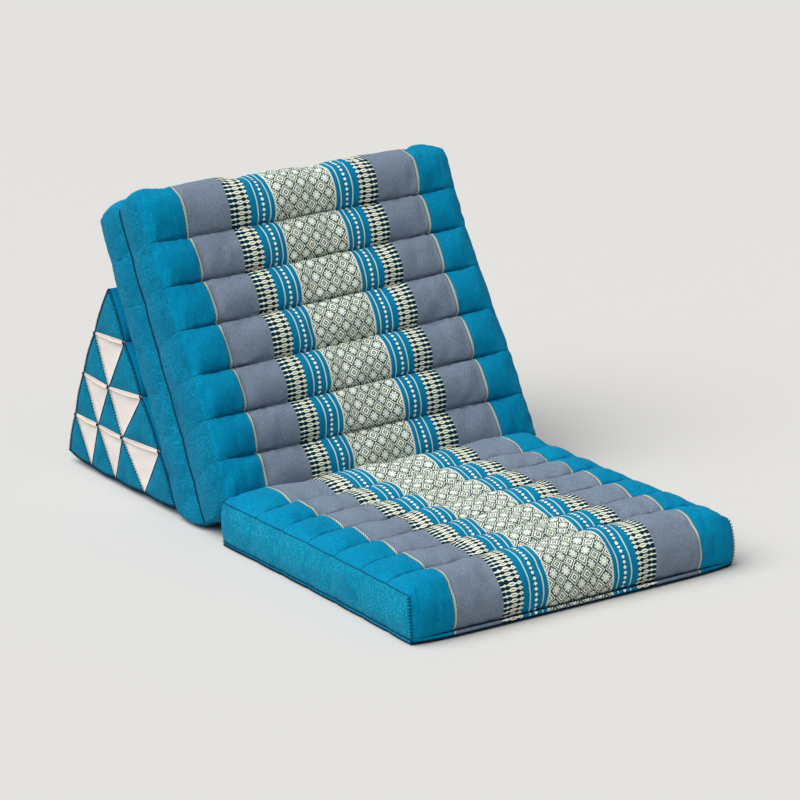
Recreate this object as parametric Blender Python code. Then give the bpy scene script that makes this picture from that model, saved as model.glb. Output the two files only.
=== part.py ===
"""Thai triangle cushion, set up as a low floor seat.

Three equal pads of seven sewn channels are hinged in a chain to a triangular bolster. The seat pad lies on
the floor, the back pad leans back, the rear pad is folded behind it back to back, and both lean on the
bolster, which is a stack of triangular tubes.

+Z is up, +Y is to the back and -X is the sitter's right. The origin is on the floor, at the middle of the box.
Sizes are in millimetres until MM turns them to metres. A side view is a (Y, Z) pair.
"""

import math
from dataclasses import dataclass

import bmesh
import bpy
from mathutils import Matrix, Vector

MM = 0.001
HALF_GAP = 0.15  # each of two neighbours stays this far from the line or plane where they touch

CHANNEL_CUTS = (0.2, 0.5, 0.8)  # where a channel's top has its edge loops, as shares of its width
CHANNEL_ROUND = 0.6  # power of the sine over a channel: less than 1 fills its shoulders
THICKNESS_CUTS = (0.2, 0.5, 0.8)
SIDE_LOOPS = (8.0, 24.0, 62.0, 130.0)  # distances from a side seam where the width has its edge loops
PUFF = ((0.0, 0.0), (8.0, 0.5), (24.0, 0.85), (62.0, 1.0))  # distance from a side seam, share of a channel's crown
SHOULDER = ((0.0, 0.0), (8.0, 0.35), (24.0, 0.2), (62.0, 0.0))  # the same, for the stitched line between channels
FREE_END_SWELL = 0.45  # share of the crown that the cloth keeps where it wraps over a pad's free end
CORNER_EASE = 0.35  # share of an end's bulge that is left at the pad's side
STITCH_SKEW = 0.02  # how much of the length the stitched lines drop towards the sitter's right

BOXING_BULGE = 3.0
SIDE_DRAW_IN = 3.0  # how far a side seam is drawn in half way along a pad
STITCH_PINCH = 1.5  # how far each stitched line draws the side seam in

PAD_X = 3.0
PAD_HALF_WIDTH = 248.0
SEAT_X = -7.0
SEAT_HALF_WIDTH = 244.0
HINGE = (2.0, 60.0)  # the sewn line between the seat pad and the back pad

# The row of corners that divides each bolster side in four, from the top down, front to back
BOLSTER_CORNERS = (
    ((315.0, 285.0),),
    ((277.0, 216.5), (364.0, 211.5)),
    ((234.0, 148.5), (331.0, 139.5), (404.5, 143.5)),
    ((189.0, 82.0), (297.0, 75.0), (368.5, 76.0), (436.5, 75.5)),
    ((149.5, 11.0), (238.0, 10.0), (323.0, 8.0), (395.0, 9.0), (461.5, 15.0)),
)
LEAN_LOW, LEAN_HIGH = (147.0, 12.3), (300.0, 292.4)  # the plane where the rear pad lies against the bolster
BOLSTER_HALF_WIDTH = 245.0
TRIANGLE_HEIGHT = 1.5  # of the triangle whose corners lie 1 from its centre
FRONT_BULGE, BACK_BULGE, UNDER_BULGE = 17.0, 14.0, 14.0
TUBE_PUFF = 4.0
INFILL_SET_BACK = 6.0
INFILL_PUFF = 2.0
TUBE_SIDE_CUTS = (0.25, 0.5, 0.75)


@dataclass(frozen=True)
class Seam:
    """A pad's side seam in side view, from its lower or front end to its upper or back end."""

    start: tuple
    end: tuple
    bow: tuple  # offsets to the left of the seam at its quarter points, ends included

    def direction(self):
        return (Vector(self.end) - Vector(self.start)).normalized()

    def left(self):
        along = self.direction()
        return Vector((-along.y, along.x))

    def point(self, share, offset=0.0):
        """The point at a share of the seam's length, moved to the left by the bow and by the offset."""
        at = share * (len(self.bow) - 1)
        piece = min(int(at), len(self.bow) - 2)
        ease = 0.5 - 0.5 * math.cos(math.pi * (at - piece))
        bow = self.bow[piece] + (self.bow[piece + 1] - self.bow[piece]) * ease
        return Vector(self.start).lerp(Vector(self.end), share) + self.left() * (bow + offset)


@dataclass(frozen=True)
class Pad:
    """A filled pad: the side seams of its face and back, and how far the cloth swells between them.

    stitches are the shares of the length where the channels start and end, from the front or lower end.
    """

    name: str
    middle_x: float
    half_width: float
    face: Seam
    back: Seam
    stitches: tuple
    free_end: float  # the share where the cloth wraps over with no hinge
    face_side: float  # 1 where the face is to the left of its seam, -1 where it is to the right
    crown: float
    back_crown: float
    start_bulge: float
    end_bulge: float
    stitch_lift: float = 0.0  # how far the stitched lines stand above the side seams
    back_limit: float = math.inf  # how far the back may swell before it meets the next pad's back
    leans: bool = False  # its face is pressed flat by the bolster


BACKS_BOW = (0.0, -1.0, -4.0, -3.0, 0.0)
BACKS_START, BACKS_END = (66.0, 13.0), (271.0, 405.0)
SEAM_FROM_BACKS = 2.0  # the side seams lie this far from the plane where the two pads meet

PADS = (
    Pad(
        name="seat_pad",
        middle_x=SEAT_X,
        half_width=SEAT_HALF_WIDTH,
        face=Seam((-449.0, 62.0), (HINGE[0] - HALF_GAP, HINGE[1]), (0.0, 0.0, 0.0)),
        back=Seam((-454.0, 4.0), (5.0, 4.0), (0.0, 0.0, 0.0)),
        stitches=(0.0, 0.125, 0.268, 0.412, 0.555, 0.69, 0.828, 1.0),
        free_end=0.0,
        face_side=1.0,
        crown=14.5,
        stitch_lift=6.0,
        back_crown=7.0,
        start_bulge=14.0,
        end_bulge=5.0,
    ),
    Pad(
        name="back_pad",
        middle_x=PAD_X,
        half_width=PAD_HALF_WIDTH,
        face=Seam((HINGE[0] + HALF_GAP, HINGE[1]), (224.0, 430.0), (0.0, 4.0, 0.0, -4.0, 0.0)),
        back=Seam(BACKS_START, BACKS_END, tuple(b + SEAM_FROM_BACKS for b in BACKS_BOW)),
        stitches=(0.0, 0.135, 0.275, 0.422, 0.571, 0.713, 0.854, 1.0),
        free_end=1.0,
        face_side=1.0,
        crown=11.5,
        back_crown=5.0,
        start_bulge=9.0,
        end_bulge=11.0,
        back_limit=SEAM_FROM_BACKS - HALF_GAP,
    ),
    Pad(
        name="rear_pad",
        middle_x=PAD_X,
        half_width=PAD_HALF_WIDTH,
        face=Seam((139.0, 7.0), (328.0, 381.0), (0.0, -1.5, -4.5, -5.0, 0.0)),
        back=Seam(BACKS_START, BACKS_END, tuple(b - SEAM_FROM_BACKS for b in BACKS_BOW)),
        stitches=(0.0, 0.14, 0.283, 0.426, 0.569, 0.712, 0.855, 1.0),
        free_end=1.0,
        face_side=-1.0,
        crown=11.5,
        back_crown=5.0,
        start_bulge=10.0,
        end_bulge=11.0,
        back_limit=SEAM_FROM_BACKS - HALF_GAP,
        leans=True,
    ),
)


def from_table(table, at):
    """Value of a table of (place, value) rows at a place, straight between rows and level past the last."""
    for (a, low), (b, high) in zip(table, table[1:]):
        if at <= b:
            return low + (high - low) * (at - a) / (b - a)
    return table[-1][1]


def swell(share):
    """Round-shouldered arch from 0 at one edge to 1 in the middle and 0 at the other edge."""
    return max(math.sin(math.pi * min(max(share, 0.0), 1.0)), 0.0) ** CHANNEL_ROUND


def channel_swell(pad, share):
    """The arch of the channel that a share of the pad's length falls in, held up at the free end."""
    if share == pad.free_end:
        return FREE_END_SWELL
    channel = max(c for c, start in enumerate(pad.stitches[:-1]) if start <= share)
    start, end = pad.stitches[channel], pad.stitches[channel + 1]
    return swell((share - start) / (end - start))


def keep_above_floor(point):
    return Vector((point.x, max(point.y, 0.0)))


def keep_off_lean_plane(point, side):
    """Push a side-view point back to its own side of the plane between rear pad (1) and bolster (-1)."""
    low = Vector(LEAN_LOW)
    along = (Vector(LEAN_HIGH) - low).normalized()
    toward_pad = Vector((-along.y, along.x)) * side
    depth = (point - low).dot(toward_pad) - HALF_GAP
    return point - toward_pad * min(depth, 0.0)


def cut_loops(bm, axis, places):
    """Cut an edge loop through the whole mesh at each place along an axis."""
    for place in places:
        everything = bm.verts[:] + bm.edges[:] + bm.faces[:]
        bmesh.ops.bisect_plane(bm, geom=everything, plane_co=axis * place, plane_no=axis)


def pad_point(pad, share, across, depth):
    """The point of a pad's surface at shares of its length (0 to 1), width (-1 to 1) and thickness (0 to 1)."""
    from_side = pad.half_width * (1.0 - abs(across))
    puffed = channel_swell(pad, share)
    inner = 0.0 < share < 1.0
    puff = from_table(PUFF, from_side)
    stitched = max(from_table(SHOULDER, from_side), pad.stitch_lift / pad.crown * puff) if inner else 0.0
    height = puffed * puff + (1.0 - puffed) * stitched
    crown = pad.crown * height if depth == 1.0 else 0.0
    back_crown = min(pad.back_crown * height, pad.back_limit) if depth == 0.0 else 0.0
    skewed = share + STITCH_SKEW * across * math.sin(math.pi * share)
    face = pad.face.point(skewed, pad.face_side * crown)
    back = pad.back.point(skewed, -pad.face_side * back_crown)
    point = back.lerp(face, depth)
    if not inner:
        bulge = pad.start_bulge if share == 0.0 else -pad.end_bulge
        corner_ease = CORNER_EASE + (1.0 - CORNER_EASE) * puff
        point -= pad.face.direction() * bulge * swell(depth) * corner_ease
    point = keep_above_floor(point)
    if pad.leans:
        point = keep_off_lean_plane(point, 1.0)
    half = pad.half_width - SIDE_DRAW_IN * math.sin(math.pi * share) - STITCH_PINCH * (1.0 - puffed)
    side_bulge = BOXING_BULGE * swell(depth) if abs(across) == 1.0 else 0.0
    x = pad.middle_x + across * (half + side_bulge)
    return Vector((x, point.x, point.y)) * MM


def snapped(value, places):
    """The exact place that a cut was made at, for a coordinate that rounding has moved a little."""
    return min(places, key=lambda place: abs(place - value))


def add_object(name, bm, material, collection):
    """Finish a mesh with its faces outwards and put it in the scene as one object."""
    bm.normal_update()
    bmesh.ops.recalc_face_normals(bm, faces=bm.faces)
    mesh = bpy.data.meshes.new(name)
    bm.to_mesh(mesh)
    bm.free()
    mesh.shade_smooth()
    mesh.materials.append(material)
    collection.objects.link(bpy.data.objects.new(name, mesh))


def build_pad(pad, material, collection):
    """A box with edge loops at its channels and side seams, swelled into a filled pad."""
    channels = zip(pad.stitches, pad.stitches[1:])
    rows = [start + (end - start) * cut for start, end in channels for cut in (0.0, *CHANNEL_CUTS)] + [1.0]
    inward = [loop / pad.half_width for loop in SIDE_LOOPS]
    columns = [-1.0, *(i - 1.0 for i in inward), 0.0, *(1.0 - i for i in reversed(inward)), 1.0]
    layers = [0.0, *THICKNESS_CUTS, 1.0]
    bm = bmesh.new()
    bmesh.ops.create_cube(bm, size=1.0, matrix=Matrix.Diagonal((2.0, 1.0, 1.0, 1.0)))
    bmesh.ops.translate(bm, vec=(0.0, 0.5, 0.5), verts=bm.verts)
    cut_loops(bm, Vector((1.0, 0.0, 0.0)), columns[1:-1])
    cut_loops(bm, Vector((0.0, 1.0, 0.0)), rows[1:-1])
    cut_loops(bm, Vector((0.0, 0.0, 1.0)), layers[1:-1])
    for vert in bm.verts:
        across, share, depth = vert.co
        vert.co = pad_point(pad, snapped(share, rows), snapped(across, columns), snapped(depth, layers))
    add_object(pad.name, bm, material, collection)


def inset_corners(corners, amount):
    """A triangle's corners moved in towards its centre so that each side moves in by the amount."""
    sides = [(corners[(i + 1) % 3] - corners[(i + 2) % 3]).length for i in range(3)]
    around = sum(sides)
    centre = sum((corner * side for corner, side in zip(corners, sides)), Vector((0.0, 0.0))) / around
    radius = abs((corners[1] - corners[0]).cross(corners[2] - corners[0])) / around
    return [centre.lerp(corner, 1.0 - amount / radius) for corner in corners]


def build_tube(name, corners, bulges, puff, set_back, material, collection):
    """A triangular tube across the bolster.

    corners: the triangle in side view. bulges: how far the side facing each corner swells out, 0 inside the
    bolster. puff: how far the end swells. set_back: how far the end stays behind the bolster's end.
    """
    corners = inset_corners([Vector(c) for c in corners], HALF_GAP)
    half = BOLSTER_HALF_WIDTH - set_back
    loops = [half - loop for loop in SIDE_LOOPS[:3]] if any(bulges) else []
    columns = [-half, *(-loop for loop in loops), *reversed(loops), half]
    bm = bmesh.new()
    bmesh.ops.create_cone(bm, cap_ends=True, segments=3, radius1=1.0, radius2=1.0, depth=2.0 * half)
    ring = sorted({(round(v.co.x, 6), round(v.co.y, 6)) for v in bm.verts}, key=lambda c: math.atan2(c[1], c[0]))
    axes = [Vector((x, y, 0.0)) for x, y in ring]
    cut_loops(bm, Vector((0.0, 0.0, 1.0)), columns[1:-1])
    for axis in axes:
        cut_loops(bm, axis, [(cut - 1.0 / 3.0) * TRIANGLE_HEIGHT for cut in TUBE_SIDE_CUTS])
    shares = [0.0, *TUBE_SIDE_CUTS, 1.0]
    for vert in bm.verts:
        weights = [snapped(vert.co.dot(axis) / TRIANGLE_HEIGHT + 1.0 / 3.0, shares) for axis in axes]
        x = snapped(vert.co.z, columns)
        point = sum((corner * w for corner, w in zip(corners, weights)), Vector((0.0, 0.0)))
        for i, bulge in enumerate(bulges):
            if bulge and weights[i] == 0.0:
                a, b = corners[(i + 1) % 3], corners[(i + 2) % 3]
                outward = Vector((b.y - a.y, a.x - b.x)).normalized()
                outward *= math.copysign(1.0, outward.dot(a - corners[i]))
                point += outward * bulge * swell(weights[(i + 1) % 3]) * from_table(PUFF, half - abs(x))
        point = keep_off_lean_plane(keep_above_floor(point), -1.0)
        if abs(x) == half:
            x += math.copysign(puff * (27.0 * math.prod(weights)) ** CHANNEL_ROUND, x)
        vert.co = Vector((x + PAD_X, point.x, point.y)) * MM
    add_object(name, bm, material, collection)


def build_bolster(tube_cloth, infill_cloth, collection):
    """Ten upright tubes in rows of one to four, and six inverted ones between them."""
    for row in range(1, len(BOLSTER_CORNERS)):
        above, below = BOLSTER_CORNERS[row - 1], BOLSTER_CORNERS[row]
        for place in range(row):
            corners = (above[place], below[place], below[place + 1])
            bulges = (
                UNDER_BULGE if row == len(BOLSTER_CORNERS) - 1 else 0.0,
                BACK_BULGE if place == row - 1 else 0.0,
                FRONT_BULGE if place == 0 else 0.0,
            )
            name = f"tube_{row}_{place + 1}"
            build_tube(name, corners, bulges, TUBE_PUFF, 0.0, tube_cloth, collection)
        for place in range(row - 1):
            corners = (above[place], above[place + 1], below[place + 1])
            name = f"infill_{row}_{place + 1}"
            build_tube(name, corners, (0.0, 0.0, 0.0), INFILL_PUFF, INFILL_SET_BACK, infill_cloth, collection)


def cloth(name, colour):
    """A matt woven cloth of one colour."""
    material = bpy.data.materials.new(name)
    material.use_nodes = True
    shader = material.node_tree.nodes["Principled BSDF"]
    shader.inputs["Base Color"].default_value = (*colour, 1.0)
    shader.inputs["Roughness"].default_value = 0.9
    shader.inputs["Metallic"].default_value = 0.0
    return material


def main():
    for leftover in list(bpy.data.objects):
        bpy.data.objects.remove(leftover, do_unlink=True)
    collection = bpy.data.collections.new("thai_triangle_cushion")
    bpy.context.scene.collection.children.link(collection)
    for pad in PADS:
        build_pad(pad, cloth(f"{pad.name}_cover", (0.10, 0.25, 0.34)), collection)
    build_bolster(
        cloth("plain_teal_cotton", (0.004, 0.23, 0.40)), cloth("white_cotton", (0.85, 0.80, 0.75)), collection
    )


main()
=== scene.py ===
"""Looks of a thai triangle cushion: three channelled mats in banded brocade and a triangular bolster.

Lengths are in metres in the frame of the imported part: X across, +Y to the bolster, Z up. A side view is a (Y, Z)
pair. Shapes are worked out on grids of shares: along a mat, across it and through its thickness.
"""

import logging
import math
from collections.abc import Callable, Sequence
from dataclasses import dataclass, field
from enum import Enum
from itertools import product

import bpy
import numpy as np
from mathutils import Matrix, Vector


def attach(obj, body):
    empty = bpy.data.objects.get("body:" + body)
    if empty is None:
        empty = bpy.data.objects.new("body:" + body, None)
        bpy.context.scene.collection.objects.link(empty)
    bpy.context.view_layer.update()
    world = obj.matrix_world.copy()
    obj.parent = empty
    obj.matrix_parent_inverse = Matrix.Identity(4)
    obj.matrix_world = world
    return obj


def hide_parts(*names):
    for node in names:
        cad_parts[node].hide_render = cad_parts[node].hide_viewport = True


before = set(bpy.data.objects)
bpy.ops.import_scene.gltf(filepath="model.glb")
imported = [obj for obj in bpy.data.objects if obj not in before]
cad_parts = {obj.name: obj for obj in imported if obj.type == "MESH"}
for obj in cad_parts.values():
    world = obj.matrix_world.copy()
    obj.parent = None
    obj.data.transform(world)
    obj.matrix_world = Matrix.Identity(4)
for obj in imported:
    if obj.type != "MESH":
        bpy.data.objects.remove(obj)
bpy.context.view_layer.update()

log = logging.getLogger("triangle_cushion")
Array = np.ndarray

MM = 0.001
BODY = "root"
PLACE = "place"
CLOTH_UV = "cloth"


class Slot(str, Enum):
    """The record's material slots."""

    BANDS = "woven_band_cotton"
    TEAL = "plain_teal_cotton"
    WHITE = "white_cotton"


# Shared shape functions


def arch(share: Array, power: float) -> Array:
    """Height over a channel: the sine of its share times pi, raised to a power under 1 that fills the shoulders.

    Args:
        share: place across the channel, 0 to 1.
        power: 1 is a plain sine, 0.5 nearly a half ellipse.

    Returns:
        Heights, 0 at both edges and 1 in the middle.
    """
    return np.sin(np.pi * np.clip(share, 0.0, 1.0)).clip(0.0) ** power


def eased(share: Array) -> Array:
    """Half a cosine wave from 0 at share 0 to 1 at share 1."""
    return 0.5 - 0.5 * np.cos(np.pi * np.clip(share, 0.0, 1.0))


def ripples(places: Array, wavelength: float, seed: int, waves: int = 9) -> Array:
    """Smooth unevenness: the mean of sine waves in random directions with wavelengths within a third of one.

    Args:
        places: (N, D) places in metres.
        wavelength: the typical distance between two crests.
        seed: which random waves.
        waves: how many are added.

    Returns:
        N values, mostly between -1 and 1.
    """
    rng = np.random.default_rng(seed)
    directions = rng.normal(size=(waves, places.shape[1]))
    directions /= np.linalg.norm(directions, axis=1, keepdims=True)
    numbers = 2.0 * np.pi / (wavelength * rng.uniform(0.75, 1.35, waves))
    phases = rng.uniform(0.0, 2.0 * np.pi, waves)
    return np.sin(places @ directions.T * numbers + phases).sum(axis=1) / math.sqrt(waves / 2.0) * 0.6


def cumulative(points: Array) -> Array:
    """Distance walked along a row of points, starting from 0."""
    steps = np.linalg.norm(np.diff(points, axis=0), axis=1)
    return np.concatenate([[0.0], np.cumsum(steps)])


# Meshes


@dataclass
class Surface:
    """A mesh as whole arrays: vertices, polygons of equal length, and for each corner its place on the cloth."""

    vertices: Array
    polygons: Array
    corner_uv: Array | None = None
    finish_index: Array | None = None

    def outward(self) -> "Surface":
        """Turn the polygons round if the volume that they enclose comes out negative."""
        a, b, c = (self.vertices[self.polygons[:, i]] for i in (0, 1, 2))
        volume = np.einsum("ij,ij->i", a, np.cross(b, c)).sum()
        if self.polygons.shape[1] == 4:
            d = self.vertices[self.polygons[:, 3]]
            volume += np.einsum("ij,ij->i", a, np.cross(c, d)).sum()
        if volume < 0.0:
            self.polygons = self.polygons[:, ::-1]
            if self.corner_uv is not None:
                self.corner_uv = self.corner_uv[:, ::-1]
        return self

    @classmethod
    def joined(cls, parts: Sequence["Surface"]) -> "Surface":
        """Several surfaces of quads as one, without merging points. Only places and polygons are kept."""
        shifts = np.cumsum([0] + [len(part.vertices) for part in parts[:-1]])
        return cls(
            np.concatenate([part.vertices for part in parts]),
            np.concatenate([part.polygons + shift for part, shift in zip(parts, shifts)]),
        )


def add_piece(name: str, surface: Surface, finishes: Sequence[bpy.types.Material]) -> bpy.types.Object:
    """Make one smooth-shaded object at the origin from a surface.

    Args:
        name: the piece's name.
        surface: its arrays.
        finishes: its materials, in the order that finish_index counts them.

    Returns:
        The new object, linked to the scene.
    """
    mesh = bpy.data.meshes.new(name)
    mesh.from_pydata(surface.vertices.tolist(), [], surface.polygons.tolist())
    for finish in finishes:
        mesh.materials.append(finish)
    if surface.finish_index is not None:
        mesh.polygons.foreach_set("material_index", surface.finish_index.astype(np.int32))
    if surface.corner_uv is not None:
        layer = mesh.uv_layers.new(name=CLOTH_UV)
        layer.data.foreach_set("uv", surface.corner_uv.astype(np.float32).ravel())
    mesh.polygons.foreach_set("use_smooth", np.ones(len(surface.polygons), dtype=bool))
    mesh.update()
    piece = bpy.data.objects.new(name, mesh)
    bpy.context.scene.collection.objects.link(piece)
    return piece


def evaluated_mesh(piece: bpy.types.Object) -> bpy.types.Mesh:
    """A copy of a piece's mesh with its modifiers applied."""
    graph = bpy.context.evaluated_depsgraph_get()
    return bpy.data.meshes.new_from_object(piece.evaluated_get(graph), depsgraph=graph)


def vectors_of(mesh: bpy.types.Mesh, kind: str) -> Array:
    """The places or the normals of a mesh's vertices as an (N, 3) array."""
    values = np.empty(len(mesh.vertices) * 3, dtype=np.float32)
    source, key = (mesh.vertices, "co") if kind == "places" else (mesh.vertex_normals, "vector")
    source.foreach_get(key, values)
    return values.reshape(-1, 3).astype(float)


def tube_along(path: Array, normals: Array, radius: float | Array, sides: int = 6) -> Surface:
    """A thread or welt: at each point of a path a circle in the plane of its normal and its sideways direction.

    Args:
        path: (N, 3) points.
        normals: (N, 3) directions away from the cloth.
        radius: of the circle, one for all or one for each point.
        sides: points on the circle.

    Returns:
        An open-ended tube, its ends drawn in to a point.
    """
    along = np.gradient(path, axis=0)
    along /= np.linalg.norm(along, axis=1, keepdims=True)
    sideways = np.cross(along, normals)
    sideways /= np.linalg.norm(sideways, axis=1, keepdims=True)
    up = np.cross(sideways, along)
    angles = np.arange(sides) * 2.0 * np.pi / sides
    girth = np.broadcast_to(radius, len(path)).copy()
    girth[[0, -1]] *= 0.05
    ring = np.cos(angles)[None, :, None] * sideways[:, None, :] + np.sin(angles)[None, :, None] * up[:, None, :]
    points = path[:, None, :] + girth[:, None, None] * ring
    index = np.arange(len(path) * sides).reshape(len(path), sides)
    after = np.roll(index, -1, axis=1)
    quads = np.stack([index[:-1], after[:-1], after[1:], index[1:]], axis=-1).reshape(-1, 4)
    return Surface(points.reshape(-1, 3), quads).outward()


def resampled(path: Array, normals: Array, pitch: float) -> tuple[Array, Array, Array]:
    """Points at an even pitch along a path, with their normals and the path's directions there."""
    walked = cumulative(path)
    count = max(int(walked[-1] / pitch), 1)
    at = (np.arange(count) + 0.5) * walked[-1] / count
    spread = [np.interp(at, walked, column) for column in path.T]
    turned = [np.interp(at, walked, column) for column in normals.T]
    ahead = [np.interp(at + pitch * 0.25, walked, column) for column in path.T]
    points = np.stack(spread, axis=1)
    lift = np.stack(turned, axis=1)
    lift /= np.linalg.norm(lift, axis=1, keepdims=True)
    along = np.stack(ahead, axis=1) - points
    along /= np.linalg.norm(along, axis=1, keepdims=True) + 1e-12
    return points, lift, along


@dataclass(frozen=True)
class Overcast:
    """Hand stitches that cross a seam side by side."""

    pitch: float = 3.4 * MM
    length: float = 5.0 * MM
    radius: float = 0.5 * MM
    slant: float = 0.35
    height: float = 0.7 * MM
    seed: int = 5

    def along(self, path: Array, normals: Array) -> Surface:
        """Each stitch is a short five-sided tube of five rings, bowed over the seam and a little slanted.

        Args:
            path: (N, 3) points of the seam.
            normals: (N, 3) directions away from the cloth there.

        Returns:
            All the stitches as one surface.
        """
        points, lift, along = resampled(path, normals, self.pitch)
        rng = np.random.default_rng(self.seed)
        across = np.cross(along, lift)
        slant = self.slant * rng.uniform(0.5, 1.5, (len(points), 1))
        run = across + along * slant
        run /= np.linalg.norm(run, axis=1, keepdims=True)
        side = np.cross(run, lift)
        steps = np.linspace(-0.5, 0.5, 5)
        girth = self.radius * np.array([0.15, 0.9, 1.0, 0.9, 0.15])
        lengths = self.length * rng.uniform(0.8, 1.15, (len(points), 1, 1))
        spine = points[:, None, :] + run[:, None, :] * steps[None, :, None] * lengths
        bow = self.height * (1.0 - (2.0 * steps) ** 2)
        spine = spine + lift[:, None, :] * bow[None, :, None]
        sides = 5
        angles = np.arange(sides) * 2.0 * np.pi / sides
        ring = np.cos(angles)[:, None] * side[:, None, None, :] + np.sin(angles)[:, None] * lift[:, None, None, :]
        places = spine[:, :, None, :] + girth[None, :, None, None] * ring
        index = np.arange(places.shape[0] * len(steps) * sides).reshape(len(points), len(steps), sides)
        after = np.roll(index, -1, axis=2)
        quads = np.stack([index[:, :-1], after[:, :-1], after[:, 1:], index[:, 1:]], axis=-1)
        return Surface(places.reshape(-1, 3), quads.reshape(-1, 4)).outward()


# Mats


@dataclass(frozen=True)
class Seam:
    """A mat's side seam in side view, from its lower or front end to its upper or back end, in millimetres."""

    start: tuple[float, float]
    end: tuple[float, float]
    bow: tuple[float, ...]  # offsets to the left of the seam at even shares of its length

    def places(self, share: Array, offset: Array) -> Array:
        """The straight line between the ends, moved to its left by the bow and an offset.

        Args:
            share: places along the seam, 0 to 1.
            offset: how far each point is moved to the left, in millimetres.

        Returns:
            (..., 2) side-view points in millimetres.
        """
        start, end = np.array(self.start), np.array(self.end)
        along = (end - start) / np.linalg.norm(end - start)
        left = np.array([-along[1], along[0]])
        at = share * (len(self.bow) - 1)
        piece = np.clip(np.floor(at).astype(int), 0, len(self.bow) - 2)
        bow = np.array(self.bow)
        moved = bow[piece] + (bow[piece + 1] - bow[piece]) * eased(at - piece) + offset
        return start + share[..., None] * (end - start) + moved[..., None] * left

    def direction(self) -> Array:
        """Unit vector from the start to the end."""
        step = np.array(self.end) - np.array(self.start)
        return step / np.linalg.norm(step)


HALF_GAP = 0.15
HINGE = (2.0, 60.0)
BACKS_BOW = (0.0, -1.0, -4.0, -3.0, 0.0)
BACKS_START, BACKS_END = (66.0, 13.0), (271.0, 405.0)
SEAM_FROM_BACKS = 2.0
LEAN_LOW, LEAN_HIGH = np.array([147.0, 12.3]), np.array([300.0, 292.4])
STITCH_SKEW = 0.02
FREE_END_SWELL = 0.45
CORNER_EASE = 0.35
PUFF = ((0.0, 4.0, 9.0, 16.0, 26.0, 40.0, 62.0), (0.0, 0.34, 0.56, 0.74, 0.87, 0.96, 1.0))
SHOULDER = ((0.0, 4.0, 9.0, 16.0, 26.0, 40.0, 62.0), (0.0, 0.26, 0.36, 0.30, 0.17, 0.05, 0.0))


def off_lean_plane(points: Array, side: float) -> Array:
    """Side-view points moved back to their own side of the plane between rear mat (1) and bolster (-1)."""
    along = (LEAN_HIGH - LEAN_LOW) / np.linalg.norm(LEAN_HIGH - LEAN_LOW)
    toward = np.array([-along[1], along[0]]) * side
    depth = (points - LEAN_LOW) @ toward - HALF_GAP
    return points - np.minimum(depth, 0.0)[..., None] * toward


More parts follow.
